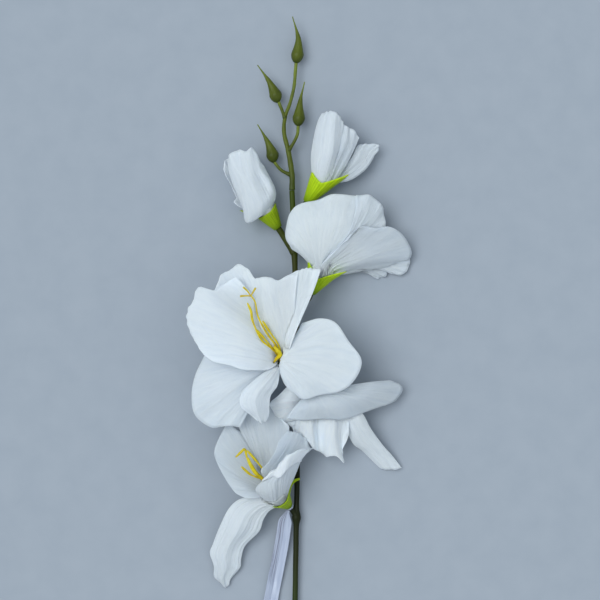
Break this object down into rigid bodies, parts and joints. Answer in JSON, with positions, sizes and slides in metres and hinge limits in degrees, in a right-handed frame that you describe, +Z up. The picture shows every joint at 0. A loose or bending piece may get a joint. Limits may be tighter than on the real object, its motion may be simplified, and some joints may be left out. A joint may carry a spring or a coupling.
{
  "type": "artificial cut gladiolus stem",
  "caption": "Artificial cut gladiolus lying down: a slim stem with white funnel blooms in yellow-green calyces, yellow stamens and a tip of closed buds.",
  "frame": {"origin": "centre of the bounding box's bottom, on the surface that the stem lies on", "axes": "+Y along the stem from the cut end to the tip, +Z up from the surface, +X to the right of the stem seen from above"},
  "size_m": [0.1427, 0.5192, 0.0529],
  "materials": {
    "stem": "moulded, dark olive green",
    "wire": "drawn wire",
    "spray": "moulded, olive green",
    "petals": "woven cloth, cool white, pressed and cut",
    "calyx": "moulded, bright yellow-green",
    "stamens": "moulded, yellow",
    "label": "thin film, pale, blank"
  },
  "bodies": {
    "root": {"stem": "stem", "stem_wire": "wire", "bud_spray": "spray", "petals_a": "petals", "petals_b": "petals", "petals_c": "petals", "petals_d": "petals", "petals_e": "petals", "petals_f": "petals", "calyx_a": "calyx", "calyx_b": "calyx", "calyx_c": "calyx", "calyx_d": "calyx", "calyx_e": "calyx", "calyx_f": "calyx", "stamens_c": "stamens", "stamens_d": "stamens", "stamens_e": "stamens", "stamens_f": "stamens", "label": "label"}
  },
  "joints": []
}
